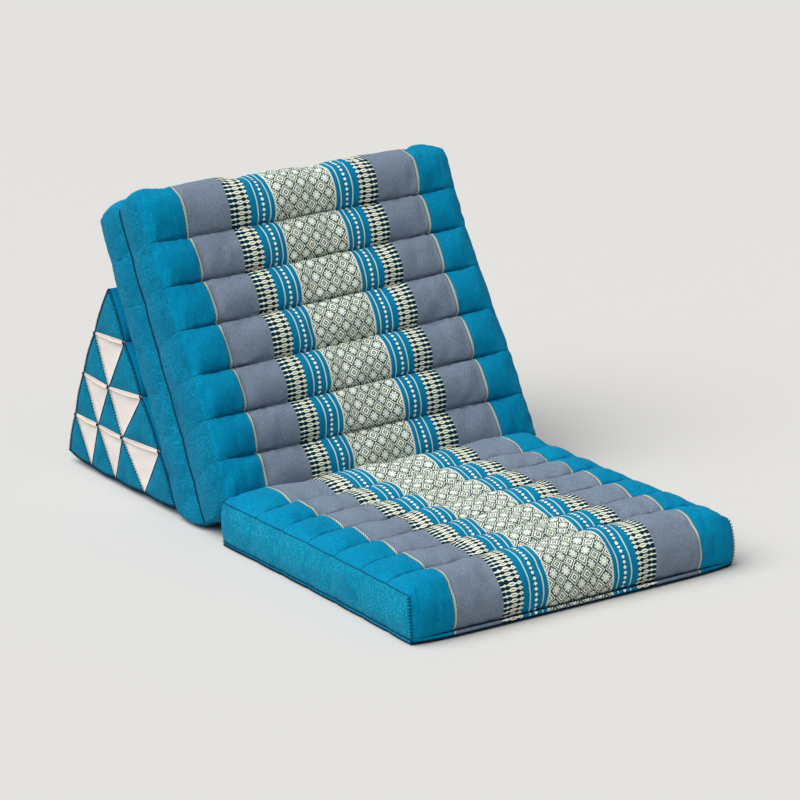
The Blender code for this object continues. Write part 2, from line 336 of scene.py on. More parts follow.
@dataclass
class Mat:
    """A filled mat of seven sewn channels with boxed sides. Sizes are in millimetres."""

    name: str
    node: str
    middle_x: float
    half_width: float
    face: Seam
    back: Seam
    stitches: tuple[float, ...]
    free_end: float
    face_side: float
    crown: float
    back_crown: float
    start_bulge: float
    end_bulge: float
    stitch_lift: float = 0.0
    back_limit: float = math.inf
    leans: bool = False
    seed: int = 1
    arch_power: float = 0.5
    boxing_bulge: float = 3.0
    pressure: float = 4.0
    slack: float = 0.03
    most_swell: float = 5.0
    boxing: str = "heather"
    end_rounding: float = 13.0
    corner_puff: float = 0.0
    corner_radius: float = 0.0
    side_draw_in: float = 3.0
    stitch_pinch: float = 1.5
    rows_a_channel: int = 10
    columns: int = 74
    layers: int = 10
    cover: bpy.types.Object | None = field(default=None, repr=False)

    def shares_along(self) -> Array:
        """Rows of the grid: each channel split by half a cosine wave, so that they crowd at the stitches."""
        steps = eased(np.arange(self.rows_a_channel) / self.rows_a_channel)
        starts, ends = np.array(self.stitches[:-1]), np.array(self.stitches[1:])
        rows = starts[:, None] + (ends - starts)[:, None] * steps
        return np.append(rows.ravel(), 1.0)

    def shares_across(self) -> Array:
        """Columns of the grid, half even and half by a sine, so that they crowd at the side seams."""
        even = np.linspace(-1.0, 1.0, self.columns + 1)
        return 0.5 * even + 0.5 * np.sin(even * np.pi / 2.0)

    def channel_share(self, share: Array) -> Array:
        """Where in its channel a row lies, 0 at one stitched line and 1 at the next."""
        stitches = np.array(self.stitches)
        channel = np.clip(np.searchsorted(stitches, share + 1e-9, side="right") - 1, 0, len(stitches) - 2)
        return (share - stitches[channel]) / (stitches[channel + 1] - stitches[channel])

    def swell(self, share: Array) -> Array:
        """How full the filling stands, 0 on a stitched line to 1 in a channel's middle.

        In the channel at the free end the arch starts part way up, because the cloth runs on over the end.
        """
        within = self.channel_share(share)
        from_end = within if self.free_end == 0.0 else 1.0 - within
        first = share < self.stitches[1] if self.free_end == 0.0 else share > self.stitches[-2]
        start = math.asin(FREE_END_SWELL ** (1.0 / self.arch_power)) / math.pi
        return arch(np.where(first, start + (1.0 - start) * from_end, within), self.arch_power)

    def places(self, share: Array, across: Array, depth: Array) -> Array:
        """Points of the mat's skin.

        A point lies between the back seam and the face seam by its depth. On the face and the back it is then
        lifted by the crown times the channel's arch times a puff that grows from the side seam inwards, at the
        ends it bulges by the arch of its depth, most some 22 mm from the corners, and at the sides likewise.
        The sides turn in towards the free end along a quarter circle of the corner radius.

        Args:
            share: along the mat, 0 at the front or lower end.
            across: -1 to 1.
            depth: 0 on the back, 1 on the face.

        Returns:
            (N, 3) points in metres.
        """
        from_side = self.half_width * (1.0 - np.abs(across))
        puff = np.interp(from_side, *PUFF)
        inner = (share > 0.0) & (share < 1.0)
        swelled = self.swell(share)
        shoulder = np.maximum(np.interp(from_side, *SHOULDER), self.stitch_lift / self.crown * puff) * inner
        height = swelled * puff + (1.0 - swelled) * shoulder
        crown = np.where(depth == 1.0, self.crown * height, 0.0)
        back_crown = np.where(depth == 0.0, np.minimum(self.back_crown * height, self.back_limit), 0.0)
        skewed = share + STITCH_SKEW * across * np.sin(np.pi * share)
        face = self.face.places(skewed, self.face_side * crown)
        back = self.back.places(skewed, -self.face_side * back_crown)
        view = back + (face - back) * depth[..., None]
        bulge = np.where(share == 0.0, -self.start_bulge, np.where(share == 1.0, self.end_bulge, 0.0))
        corner = np.exp(-1.2 * (from_side / 22.0 - 1.0) ** 2)
        fullness = CORNER_EASE + (1.0 - CORNER_EASE) * puff + self.corner_puff * corner
        bulge = bulge * arch(depth, self.arch_power) * fullness
        view = view + bulge[..., None] * self.face.direction()
        view[..., 1] = np.maximum(view[..., 1], HALF_GAP)
        if self.leans:
            view = off_lean_plane(view, 1.0)
        half = self.half_width - self.side_draw_in * np.sin(np.pi * share) - self.stitch_pinch * (1.0 - swelled)
        half = half + np.where(np.abs(across) == 1.0, self.boxing_bulge * arch(depth, self.arch_power), 0.0)
        from_end = np.abs(share - self.free_end) * np.linalg.norm(np.subtract(self.face.end, self.face.start))
        if self.corner_radius:
            into = (1.0 - from_end / self.corner_radius).clip(0.0, 1.0)
            half = half - self.corner_radius * (1.0 - np.sqrt(1.0 - into**2 * 0.96))
        x = self.middle_x + across * half
        return np.concatenate([x[..., None], view], axis=-1) * MM

    def cloth_places(self, share: Array, across: Array, depth: Array) -> Array:
        """Where a point lies on the flat cloth, in millimetres: across from the middle, and along its length.

        The length is the distance walked over the channels, and at the free end on down the wrapped end.
        """
        rows = self.shares_along()
        quarter = np.full_like(rows, 0.5)
        walked = cumulative(self.places(rows, quarter, np.ones_like(rows))) / MM
        along = np.interp(share, rows, walked)
        end = np.linspace(1.0, 0.0, self.layers + 1)
        flat = np.full_like(end, 0.5)
        wrapped = cumulative(self.places(np.full_like(end, self.free_end), flat, end)) / MM
        direction = 1.0 if self.free_end == 1.0 else -1.0
        at_end = share == self.free_end
        along = along + np.where(at_end, direction * np.interp(1.0 - depth, 1.0 - end, wrapped), 0.0)
        return np.stack([across * self.half_width, along], axis=-1)

    def shell(self) -> tuple[Surface, Array]:
        """The six sides of a box of rows, columns and layers, each a grid, with shared edges.

        Returns:
            The surface, and for each vertex its shares along, across and through.
        """
        axes = (self.shares_along(), self.shares_across(), np.linspace(0.0, 1.0, self.layers + 1))
        skin = np.zeros([len(a) for a in axes], dtype=bool)
        skin[[0, -1]] = skin[:, [0, -1]] = skin[:, :, [0, -1]] = True
        index = np.full(skin.shape, -1)
        index[skin] = np.arange(skin.sum())
        lattice = np.stack(np.meshgrid(*axes, indexing="ij"), axis=-1)
        shares = lattice[skin]
        polygons, uvs, finishes = [], [], []
        for axis, end in product(range(3), (0, -1)):
            ids = np.take(index, end, axis=axis)
            flat = np.take(lattice, end, axis=axis)
            cloth = self.cloth_places(*np.moveaxis(flat, -1, 0))
            if axis == 1:
                cloth = np.stack([flat[..., 0] * 460.0, flat[..., 2] * 60.0], axis=-1) + end * 97.0
            corners = (slice(None, -1), slice(None, -1)), (slice(1, None), slice(None, -1)), \
                (slice(1, None), slice(1, None)), (slice(None, -1), slice(1, None))
            if (end == 0) != (axis == 1):
                corners = corners[::-1]
            quads = np.stack([ids[c] for c in corners], axis=-1).reshape(-1, 4)
            banded = (axis == 2 and end == -1) or (axis == 0 and axes[0][end] == self.free_end)
            polygons.append(quads)
            uvs.append(np.stack([cloth[c] for c in corners], axis=-2).reshape(-1, 4, 2))
            finishes.append(np.full(len(quads), 0 if banded else 1))
        surface = Surface(
            self.places(*shares.T), np.concatenate(polygons), np.concatenate(uvs), np.concatenate(finishes)
        )
        surface.vertices = self.rounded_end(surface.vertices, index)
        return surface.outward(), shares

    def rounded_end(self, vertices: Array, index: Array) -> Array:
        """Round the edge between the face and the free end, where the cloth runs on without a seam.

        Each column of points from the middle of the last channel over the end to its lower seam is replaced
        by its mean under a bell curve of the rounding's width, which narrows to nothing at both ends of the
        column. Near the side seams the rounding fades with the puff.

        Args:
            vertices: (N, 3) places in metres.
            index: the lattice's vertex numbers by row, column and layer.

        Returns:
            The moved places.
        """
        half = self.rows_a_channel // 2
        at_start = self.free_end == 0.0
        over = index[half:0:-1, :, -1] if at_start else index[-1 - half : -1, :, -1]
        down = (index[0] if at_start else index[-1]).T[::-1]
        chain = np.concatenate([over, down])
        middle = vertices[chain[:, chain.shape[1] // 2]]
        walked = cumulative(middle)
        width = self.end_rounding * MM * np.sin(np.pi * (walked / walked[-1]) ** 0.8).clip(0.02)
        share_of = np.gradient(walked)
        weights = np.exp(-0.5 * ((walked[:, None] - walked) / width[:, None]) ** 2) * share_of
        weights[[0, -1]] = 0.0
        weights[0, 0] = weights[-1, -1] = 1.0
        weights /= weights.sum(axis=1, keepdims=True)
        smooth = np.einsum("ij,jkl->ikl", weights, vertices[chain])
        from_side = self.half_width * (1.0 - np.abs(self.shares_across()))
        fade = np.interp(from_side, *PUFF)[None, :, None]
        vertices = vertices.copy()
        vertices[chain] += fade * (smooth - vertices[chain])
        return vertices

    def from_stitch(self, share: Array) -> tuple[Array, Array]:
        """Distance in millimetres from the nearest inner stitched line, signed, and that line's number."""
        length = np.linalg.norm(np.array(self.face.end) - np.array(self.face.start))
        gaps = (share[:, None] - np.array(self.stitches[1:-1])) * length
        nearest = np.abs(gaps).argmin(axis=1)
        return gaps[np.arange(len(share)), nearest], nearest

    def unevenness(self, shares: Array, places: Array) -> Array:
        """How far filling and stitches push each point out, in metres.

        Kapok lumps are ripples of about 70 and 30 mm. Gathers are ripples along each stitched line and along
        the side seams that die away from them. The stitched line itself is a narrow groove.
        """
        share, across, depth = shares.T
        gap, line = self.from_stitch(share)
        from_side = self.half_width * (1.0 - np.abs(across))
        on_face = depth > 1.0 - 1e-6
        on_back = depth < 1e-6
        on_side = np.abs(across) > 1.0 - 1e-6
        at_end = ((share < 1e-6) | (share > 1.0 - 1e-6)) & ~on_face & ~on_back
        inset = np.clip(from_side / 20.0, 0.0, 1.0)
        lumps = ripples(places, 0.075, self.seed) * 1.1 + ripples(places, 0.032, self.seed + 1) * 0.45
        strip = np.stack([places[:, 0], np.sign(gap) * 0.4 + line * 1.7], axis=1)
        gathers = ripples(strip, 0.013, self.seed + 2) * 0.7 + ripples(strip, 0.028, self.seed + 3) * 0.6
        gathers = gathers * np.exp(-np.abs(gap) / 8.0) * inset
        seam_ripples = ripples(places, 0.016, self.seed + 4) * 0.55 * np.exp(-from_side / 9.0)
        groove = -2.2 * np.exp(-((gap / 1.1) ** 2)) * np.clip((from_side - 12.0) / 10.0, 0.0, 1.0)
        face_push = lumps * inset * np.clip(np.abs(gap) / 8.0, 0.0, 1.0) + gathers + groove + seam_ripples
        middle = arch(depth, 1.0)
        side_push = (ripples(places * [1.0, 1.0, 0.3], 0.03, self.seed + 5) * 0.6 + lumps * 0.5) * middle
        end_push = (lumps * 0.7 + ripples(places, 0.02, self.seed + 6) * 0.3) * middle * inset
        push = np.where(on_face, face_push, 0.0) + np.where(on_side & ~on_face, side_push, 0.0)
        push = push + np.where(at_end & ~on_side, end_push, 0.0)
        if self.leans:
            push = np.where(on_face & (share < 0.8), 0.0, push)
        return push * MM

    def build(self, finishes: Sequence[bpy.types.Material]) -> bpy.types.Object:
        """Make the cover: coarse skin, filled by simulation, subdivided once, then made uneven in fine detail."""
        surface, shares = self.shell()
        piece = add_piece(self.name, surface, finishes)
        place = piece.data.attributes.new(PLACE, "FLOAT_VECTOR", "POINT")
        place.data.foreach_set("vector", shares.astype(np.float32).ravel())
        self.crease(piece.data, shares)
        self.fill(piece, shares)
        smooth = piece.modifiers.new("smooth", "SUBSURF")
        smooth.levels = smooth.render_levels = 1
        smooth.uv_smooth = "NONE"
        fine = evaluated_mesh(piece)
        piece.modifiers.clear()
        piece.data = fine
        self.refine(fine)
        self.cover = piece
        return piece

    def crease(self, mesh: bpy.types.Mesh, shares: Array) -> None:
        """Keep the stitched lines and the seams sharp when the mesh is subdivided."""
        ends = np.empty(len(mesh.edges) * 2, dtype=np.int32)
        mesh.edges.foreach_get("vertices", ends)
        a, b = shares[ends[::2]], shares[ends[1::2]]
        stitched = np.isclose(a[:, 0], b[:, 0]) & (a[:, 2] == b[:, 2]) & np.isin(a[:, 2], (0.0, 1.0))
        stitched &= np.isclose(a[:, :1], np.array(self.stitches[1:-1])).any(axis=1)
        seam = (np.abs(a[:, 1]) == 1.0) & (a[:, 1] == b[:, 1]) & (a[:, 2] == b[:, 2]) & np.isin(a[:, 2], (0.0, 1.0))
        corner = (np.abs(a[:, 1]) == 1.0) & (a[:, 1] == b[:, 1]) & (a[:, 0] == b[:, 0]) & np.isin(a[:, 0], (0.0, 1.0))
        hem = (a[:, 2] == 0.0) & (b[:, 2] == 0.0) & (a[:, 0] == b[:, 0]) & np.isin(a[:, 0], (0.0, 1.0))
        sharp = np.where(stitched, 1.0, np.where(seam | corner | hem, 0.75, 0.0)).astype(np.float32)
        crease = mesh.attributes.new("crease_edge", "FLOAT", "EDGE")
        crease.data.foreach_set("value", sharp)

    def held(self, shares: Array) -> Array:
        """How firmly each point is held while the mat is filled: 1 on stitched lines, seams and hems, else 0."""
        share, across, depth = shares.T
        flat = (depth == 0.0) | (depth == 1.0)
        stitched = np.isclose(share[:, None], np.array(self.stitches[1:-1])).any(axis=1) & flat
        side = np.abs(across) == 1.0
        end = (share == 0.0) | (share == 1.0)
        seams = (side & flat) | (end & side) | (end & (depth == 0.0))
        return np.where(stitched | seams, 1.0, 0.0)

    def fill(self, piece: bpy.types.Object, shares: Array) -> None:
        """Blow the cover up with slightly loose cloth between its seams, as a stuffed mat swells.

        The cloth runs for 20 frames under inner pressure and without gravity, held at its seams. A point may
        move a few millimetres, softly capped at the mat's most swell; on mats whose back is limited, the back moves a
        tenth as far.
        """
        group = piece.vertex_groups.new(name="held")
        pinned = self.held(shares)
        group.add(np.flatnonzero(pinned).tolist(), 1.0, "REPLACE")
        cloth = piece.modifiers.new("filling", "CLOTH")
        settings = cloth.settings
        settings.quality = 6
        settings.mass = 0.25
        settings.tension_stiffness = settings.compression_stiffness = 12.0
        settings.shear_stiffness = 4.0
        settings.bending_stiffness = 0.15
        settings.use_pressure = True
        settings.uniform_pressure_force = self.pressure
        settings.shrink_min = -self.slack
        settings.vertex_group_mass = group.name
        settings.effector_weights.gravity = 0.0
        cloth.collision_settings.use_collision = False
        cloth.collision_settings.use_self_collision = False
        cloth.point_cache.frame_start, cloth.point_cache.frame_end = 1, 20
        before = vectors_of(piece.data, "places")
        scene = bpy.context.scene
        for step in range(1, 21):
            scene.frame_set(step)
        filled = evaluated_mesh(piece)
        moved = vectors_of(filled, "places") - before
        bpy.data.meshes.remove(filled)
        piece.modifiers.clear()
        scene.frame_set(1)
        length = np.linalg.norm(moved, axis=1, keepdims=True)
        cap = self.most_swell * MM
        moved *= np.where(length > 1e-9, cap * np.tanh(length / cap) / np.maximum(length, 1e-9), 0.0)
        back = (shares[:, 2] == 0.0) & (self.back_limit < math.inf)
        moved[back] *= 0.1
        log.info("%s: cloth moved %.1f mm at most, %.1f in the mean", self.name, length.max() / MM, length.mean() / MM)
        piece.data.vertices.foreach_set("co", (before + moved).astype(np.float32).ravel())
        piece.data.update()

    def refine(self, mesh: bpy.types.Mesh) -> None:
        """Push the points of the fine mesh out along their normals, and keep them off floor and neighbours."""
        shares = np.empty(len(mesh.vertices) * 3, dtype=np.float32)
        mesh.attributes[PLACE].data.foreach_get("vector", shares)
        shares = shares.reshape(-1, 3).astype(float)
        places, normals = vectors_of(mesh, "places"), vectors_of(mesh, "normals")
        places = places + normals * self.unevenness(shares, places)[:, None]
        if self.leans:
            places[:, 1:] = off_lean_plane(places[:, 1:] / MM, 1.0) * MM
        places[:, 2] = np.maximum(places[:, 2], HALF_GAP * MM)
        mesh.vertices.foreach_set("co", places.astype(np.float32).ravel())
        mesh.update()

    def line(self, held: dict[int, float], lift: float) -> tuple[Array, Array]:
        """A row of the cover's vertices with their normals: an edge or a seam of the box of shares.

        Args:
            held: two of the three shares, by number, with the value that they keep along the row.
            lift: how far off the cloth the row is moved, in metres.

        Returns:
            The places and normals in the order of the free share.
        """
        mesh = self.cover.data
        shares = np.empty(len(mesh.vertices) * 3, dtype=np.float32)
        mesh.attributes[PLACE].data.foreach_get("vector", shares)
        shares = shares.reshape(-1, 3)
        free = ({0, 1, 2} - set(held)).pop()
        on_row = np.all([np.isclose(shares[:, i], value, atol=1e-4) for i, value in held.items()], axis=0)
        mine = np.flatnonzero(on_row)
        mine = mine[np.argsort(shares[mine, free])]
        places, normals = vectors_of(mesh, "places")[mine], vectors_of(mesh, "normals")[mine]
        return places + normals * lift, normals


# Bolster

CORNERS = (
    ((315.0, 285.0),),
    ((277.0, 216.5), (364.0, 211.5)),
    ((234.0, 148.5), (331.0, 139.5), (404.5, 143.5)),
    ((189.0, 82.0), (297.0, 75.0), (368.5, 76.0), (436.5, 75.5)),
    ((149.5, 11.0), (238.0, 10.0), (323.0, 8.0), (395.0, 9.0), (461.5, 15.0)),
)
BOLSTER_X = 3.0
BOLSTER_HALF_WIDTH = 245.0
FRONT_BULGE, BACK_BULGE, UNDER_BULGE = 17.0, 14.0, 14.0
END_BULGE_SHARE = 0.22  # of a side's bulge that is already there at the bolster's end


@dataclass
class Tube:
    """A filled triangular tube across the bolster. Sizes are in millimetres."""

    name: str
    node: str
    corners: tuple[tuple[float, float], ...]
    bulges: tuple[float, float, float]
    puff: float
    set_back: float
    flare: float = 0.0  # how far the end spreads over its neighbours' edges
    seed: int = 1
    steps: int = 16
    cap_rings: int = 9
    rounding: int = 1

    def sides(self) -> tuple[Array, Array, Array]:
        """Outline of the section: even steps along its three sides, corners rounded by averaging neighbours.

        Returns:
            (N, 2) points, (N, 2) outward directions and each point's bulge.
        """
        corners = np.array(self.corners)
        centre = corners.mean(axis=0)
        inset = corners + (centre - corners) * 0.008
        shares = eased(np.arange(self.steps) / self.steps)
        points, outward, bulges = [], [], []
        for i in range(3):
            a, b = inset[(i + 1) % 3], inset[(i + 2) % 3]
            normal = np.array([b[1] - a[1], a[0] - b[0]]) / np.linalg.norm(b - a)
            normal = normal * np.sign(normal @ (a - inset[i]))
            points.append(a + (b - a) * shares[:, None])
            outward.append(np.repeat(normal[None], self.steps, axis=0))
            bulges.append(self.bulges[i] * arch(shares, 0.85))
        outline, directions = np.concatenate(points), np.concatenate(outward)
        for _ in range(self.rounding):
            outline = 0.5 * outline + 0.25 * (np.roll(outline, 1, axis=0) + np.roll(outline, -1, axis=0))
        return outline, directions, np.concatenate(bulges)

    def build(self, finishes: Sequence[bpy.types.Material]) -> bpy.types.Object:
        """Carry the outline across the bolster, and close each end with shrinking rings that puff out.

        A ring on an end lies at its share c of the way from the centre to the outline, pushed out by the puff
        times one minus c cubed. Along the walls an outer side bulges by its own amount times the same puff
        curve as the mats.
        """
        outline, directions, bulges = self.sides()
        count = len(outline)
        centre = np.array(self.corners).mean(axis=0)
        half = BOLSTER_HALF_WIDTH - self.set_back
        inward = np.array([0.0, 1.5, 4.0, 9.0, 16.0, 26.0, 40.0, 62.0, 100.0, 170.0])
        walls = np.concatenate([inward - half, (half - inward)[::-1]])
        shares = np.concatenate([(np.arange(self.cap_rings) + 0.4) / self.cap_rings, [1.0]])
        end_outline = outline + directions * (bulges * END_BULGE_SHARE + self.flare)[:, None]
        rings, kinds = [], []
        for c in shares[:-1]:
            rings.append(self.cap_ring(end_outline, centre, c, -half))
            kinds.append(c)
        for x in walls:
            from_end = half - abs(x)
            grown = END_BULGE_SHARE + (1.0 - END_BULGE_SHARE) * np.interp(from_end, *PUFF)
            flare = self.flare * (from_end == 0.0)
            section = outline + directions * (bulges * grown + flare)[:, None]
            rings.append(np.column_stack([np.full(count, x), section]))
            kinds.append(2.0)
        for c in shares[:-1][::-1]:
            rings.append(self.cap_ring(end_outline, centre, c, half))
            kinds.append(c)
        grid = np.stack(rings)
        grid[..., 1:] = off_lean_plane(grid[..., 1:], -1.0)
        grid[..., 2] = np.maximum(grid[..., 2], HALF_GAP)
        return self.finish(grid, np.array(kinds), finishes)

    def end_edge(self, side: int, end: float, set_back: float, inset: float = 0.0) -> tuple[Array, Array]:
        """One edge of the section where it meets the end, and the direction away from the end.

        Args:
            side: 0 to 2, the side opposite that corner.
            end: -1 or 1, which end of the bolster.
            set_back: how far in from the bolster's end it lies, in millimetres.
            inset: how far inside the section it lies, in millimetres.

        Returns:
            (N, 3) places in metres and as many normals.
        """
        outline, directions, bulges = self.sides()
        edge = outline + directions * (bulges * END_BULGE_SHARE - inset)[:, None]
        rows = np.arange(side * self.steps, (side + 1) * self.steps + 1) % len(edge)
        view = off_lean_plane(edge[rows], -1.0)
        view[:, 1] = np.maximum(view[:, 1], 0.8)
        x = np.full(len(rows), end * (BOLSTER_HALF_WIDTH - set_back + 0.2) + BOLSTER_X)
        normals = np.zeros((len(rows), 3))
        normals[:, 0] = end
        return np.column_stack([x, view]) * MM, normals

    def cap_ring(self, outline: Array, centre: Array, share: float, x: float) -> Array:
        """One ring of an end, at a share of the way from the centre to the outline."""
        view = centre + (outline - centre) * share
        out = self.puff * (1.0 - share**3)
        return np.column_stack([np.full(len(view), x) + np.sign(x) * out, view])

    def finish(self, grid: Array, kinds: Array, finishes: Sequence[bpy.types.Material]) -> bpy.types.Object:
        """Close the grid of rings with a point at each end, add fine unevenness and make the piece."""
        rings, count = grid.shape[:2]
        poles = np.stack([grid[0].mean(axis=0), grid[-1].mean(axis=0)])
        vertices = np.concatenate([grid.reshape(-1, 3), poles])
        index = np.arange(rings * count).reshape(rings, count)
        after = np.roll(index, -1, axis=1)
        quads = np.stack([index[:-1], after[:-1], after[1:], index[1:]], axis=-1).reshape(-1, 4)
        first = np.stack([after[0], index[0], np.full(count, rings * count), np.full(count, rings * count)], axis=-1)
        last = np.stack([index[-1], after[-1], np.full(count, rings * count + 1), np.full(count, rings * count + 1)], axis=-1)
        around = cumulative(np.concatenate([grid[rings // 2, :, 1:], grid[rings // 2, :1, 1:]]))
        wall_uv = np.stack([np.repeat(grid[:, :1, 0], count + 1, axis=1), np.tile(around, (rings, 1))], axis=-1)
        uv = np.stack([wall_uv[:-1, :-1], wall_uv[:-1, 1:], wall_uv[1:, 1:], wall_uv[1:, :-1]], axis=-2)
        uv = uv.reshape(-1, 4, 2)
        wall = np.repeat((kinds[:-1] == 2.0) & (kinds[1:] == 2.0), count)
        flat = vertices[quads][..., 1:]
        uv = np.where(wall[:, None, None], uv, flat)
        places = vertices * MM
        lumps = ripples(places, 0.05, self.seed) * 0.9 + ripples(places, 0.02, self.seed + 1) * 0.4
        ease = np.append(np.repeat(np.where(kinds == 2.0, 0.0, 1.0 - kinds**4), count), [1.0, 1.0])
        places[:, 0] += np.sign(places[:, 0]) * lumps * ease * MM
        places[:, 0] += BOLSTER_X * MM
        mesh = bpy.data.meshes.new(self.name)
        fans = np.concatenate([first, last])[:, :3]
        mesh.from_pydata(places.tolist(), [], quads.tolist() + fans.tolist())
        for item in finishes:
            mesh.materials.append(item)
        fan_uv = np.repeat(vertices[fans][..., 1:].reshape(-1, 2), 1, axis=0)
        layer = mesh.uv_layers.new(name=CLOTH_UV)
        layer.data.foreach_set("uv", np.concatenate([uv.reshape(-1, 2), fan_uv]).astype(np.float32).ravel())
        kind = np.concatenate([np.where(wall, 0, 1), np.ones(len(fans))]).astype(np.int32)
        mesh.polygons.foreach_set("material_index", kind)
        mesh.polygons.foreach_set("use_smooth", np.ones(len(kind), dtype=bool))
        mesh.update()
        outward_mesh(mesh)
        piece = bpy.data.objects.new(self.name, mesh)
        bpy.context.scene.collection.objects.link(piece)
        return piece


def outward_mesh(mesh: bpy.types.Mesh) -> None:
    """Turn every polygon round if the closed mesh encloses a negative volume."""
    mesh.calc_loop_triangles()
    triangles = np.empty(len(mesh.loop_triangles) * 3, dtype=np.int32)
    mesh.loop_triangles.foreach_get("vertices", triangles)
    a, b, c = vectors_of(mesh, "places")[triangles.reshape(-1, 3)].transpose(1, 0, 2)
    if np.einsum("ij,ij->i", a, np.cross(b, c)).sum() < 0.0:
        mesh.flip_normals()


# Finishes


def linear(colour: str) -> tuple[float, float, float, float]:
    """An sRGB hex colour as linear red, green, blue and full alpha."""
    parts = [int(colour[i : i + 2], 16) / 255.0 for i in (1, 3, 5)]
    return (*(p / 12.92 if p <= 0.04045 else ((p + 0.055) / 1.055) ** 2.4 for p in parts), 1.0)


def put(tree: bpy.types.NodeTree, kind: str, settings: dict, links: dict, output: int = 0) -> bpy.types.NodeSocket:
    """Add one node to a tree.

    Args:
        tree: the material's node tree.
        kind: the node's type without its ShaderNode prefix.
        settings: properties to set on it.
        links: for each input, by name or number, a socket to link or a value to set.
        output: which output to hand back.

    Returns:
        That output's socket.
    """
    node = tree.nodes.new("ShaderNode" + kind)
    for key, value in settings.items():
        setattr(node, key, value)
    for key, value in links.items():
        value = value.socket if isinstance(value, Field) else value
        if isinstance(value, bpy.types.NodeSocket):
            tree.links.new(value, node.inputs[key])
        else:
            node.inputs[key].default_value = value
    return node.outputs[output] if node.outputs else None


@dataclass(frozen=True)
class Field:
    """A number that a material works out at every point of the cloth."""

    tree: bpy.types.NodeTree
    socket: bpy.types.NodeSocket

    def calc(self, operation: str, *others: "Field | float") -> "Field":
        """The result of one arithmetic step on this number and others."""
        return Field(self.tree, put(self.tree, "Math", {"operation": operation}, dict(enumerate((self, *others)))))

    def __add__(self, other: "Field | float") -> "Field":
        return self.calc("ADD", other)

    def __sub__(self, other: "Field | float") -> "Field":
        return self.calc("SUBTRACT", other)

    def __mul__(self, other: "Field | float") -> "Field":
        return self.calc("MULTIPLY", other)

    def __truediv__(self, other: "Field | float") -> "Field":
        return self.calc("DIVIDE", other)

    def __abs__(self) -> "Field":
        return self.calc("ABSOLUTE")

    def below(self, edge: "Field | float", blur: float) -> "Field":
        """1 where this number is under an edge, 0 where it is over it, with a soft step of the blur's width."""
        gap = self - edge
        ends = {"Value": gap, "From Min": -blur, "From Max": blur, "To Min": 1.0, "To Max": 0.0}
        return Field(self.tree, put(self.tree, "MapRange", {"interpolation_type": "SMOOTHSTEP"}, ends))

    def fold(self, pitch: float) -> "Field":
        """Distance from the nearest multiple of a pitch."""
        turns = self / pitch
        return abs(turns - turns.calc("ROUND")) * pitch

    def near(self, middle: "Field | float", width: float, blur: float = 0.25) -> "Field":
        """1 within half a width of a middle, 0 outside."""
        return abs(self - middle).below(width / 2.0, blur)


@dataclass
class Dyeing:
    """A colour that is built up from a ground by laying other colours over it."""

    tree: bpy.types.NodeTree
    colour: bpy.types.NodeSocket | tuple[float, float, float, float]

    def over(self, mask: Field | float, colour: "str | bpy.types.NodeSocket") -> "Dyeing":
        """Lay a colour over the present one where the mask is 1.

        Args:
            mask: a share from 0 to 1.
            colour: sRGB hex or another colour's socket.

        Returns:
            This dyeing, for chaining.
        """
        top = linear(colour) if isinstance(colour, str) else colour
        links = {"Factor": mask, "A": self.colour, "B": top}
        inputs = {0: links["Factor"], 6: links["A"], 7: links["B"]}
        self.colour = put(self.tree, "Mix", {"data_type": "RGBA"}, inputs, 2)
        return self


